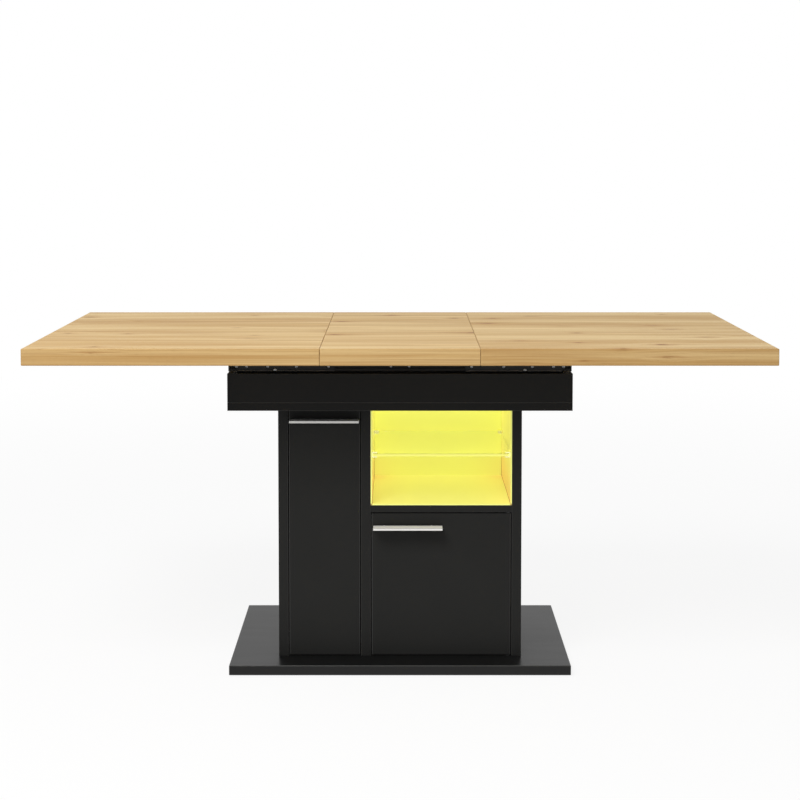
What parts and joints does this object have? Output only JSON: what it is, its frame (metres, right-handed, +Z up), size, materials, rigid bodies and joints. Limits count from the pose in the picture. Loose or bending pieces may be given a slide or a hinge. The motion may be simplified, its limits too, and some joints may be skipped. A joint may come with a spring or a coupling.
{
  "type": "kitchen table with storage cabinet",
  "caption": "Extending kitchen table: two halves and a lift-out leaf on slides over an apron box, on a cabinet with a pull-out, a door and a lit niche.",
  "frame": {"origin": "on the floor under the middle of the table", "axes": "+X along the table to the right, +Y to the back, +Z up; the doors face -Y"},
  "size_m": [1.6, 0.8, 0.75],
  "materials": {
    "lacquered_board": "smooth black lacquer over board, satin",
    "oak": "clear matt lacquer over oak boards",
    "glide_plastic": "moulded",
    "black_steel": "black powder coat",
    "zinc_steel": "bright zinc",
    "handle_metal": "satin",
    "chrome_clip": "polished",
    "niche_lining": "lemon yellow, satin",
    "glass": "clear, polished edges",
    "light_profile": "anodised",
    "light_strip": "white circuit board with light chips",
    "light_diffuser": "opal",
    "black_plastic": "moulded",
    "nylon": "natural nylon"
  },
  "bodies": {
    "carcass": {"apron_back": "lacquered_board", "apron_end_left": "lacquered_board", "apron_end_right": "lacquered_board", "apron_floor": "lacquered_board", "apron_front": "lacquered_board", "back_panel": "lacquered_board", "base_board": "lacquered_board", "base_glides": "glide_plastic", "bearer_back": "lacquered_board", "bearer_front": "lacquered_board", "divider_panel": "lacquered_board", "glass_shelf": "glass", "glass_shelf_clips": "chrome_clip", "inner_shelf": "lacquered_board", "light_diffuser": "light_diffuser", "light_profile": "light_profile", "light_strip": "light_strip", "magnetic_catch": "black_plastic", "niche_floor": "lacquered_board", "niche_lining_back": "niche_lining", "niche_lining_ceiling": "niche_lining", "niche_lining_floor": "niche_lining", "niche_lining_left": "niche_lining", "niche_lining_right": "niche_lining", "pivot_bushes": "black_plastic", "power_inlet": "black_plastic", "pullout_channel_caps": "black_plastic", "pullout_channels": "zinc_steel", "shelf_pins": "zinc_steel", "side_panel_left": "lacquered_board", "side_panel_right": "lacquered_board", "track_back": "black_steel", "track_end_caps": "black_plastic", "track_front": "black_steel"},
    "top_left": {"top_left": "oak", "runner_left_front": "black_steel", "runner_left_back": "black_steel", "sliders_left": "black_plastic", "rub_pads_left": "black_plastic", "lock_screws_left": "zinc_steel"},
    "top_right": {"top_right": "oak", "runner_right_front": "black_steel", "runner_right_back": "black_steel", "sliders_right": "black_plastic", "rub_pads_right": "black_plastic", "lock_screws_right": "zinc_steel"},
    "leaf": {"leaf": "oak", "leaf_locators": "nylon"},
    "pullout": {"pullout_front": "lacquered_board", "handle_left": "handle_metal", "pullout_sides": "lacquered_board", "pullout_shelves": "lacquered_board", "pullout_back": "lacquered_board", "pullout_rods": "zinc_steel", "pullout_sliders": "nylon"},
    "door": {"door_right": "lacquered_board", "door_pivots": "black_steel", "handle_right": "handle_metal", "strike_plate": "zinc_steel"}
  },
  "joints": [
    {"name": "top_left_slide", "type": "slide", "parent": "carcass", "child": "top_left", "axis": [-1, 0, 0], "range_m": [0, 0.02]},
    {"name": "top_right_slide", "type": "slide", "parent": "carcass", "child": "top_right", "axis": [1, 0, 0], "range_m": [0, 0.02]},
    {"name": "leaf_lift", "type": "slide", "parent": "carcass", "child": "leaf", "axis": [0, 0, 1], "range_m": [0, 0.15]},
    {"name": "pullout_slide", "type": "slide", "parent": "carcass", "child": "pullout", "axis": [0, -1, 0], "range_m": [0, 0.22]},
    {"name": "door_swing", "type": "hinge", "parent": "carcass", "child": "door", "pos_m": [0.244, -0.169, 0.18], "axis": [0, 0, 1], "range_deg": [0, 100]}
  ]
}
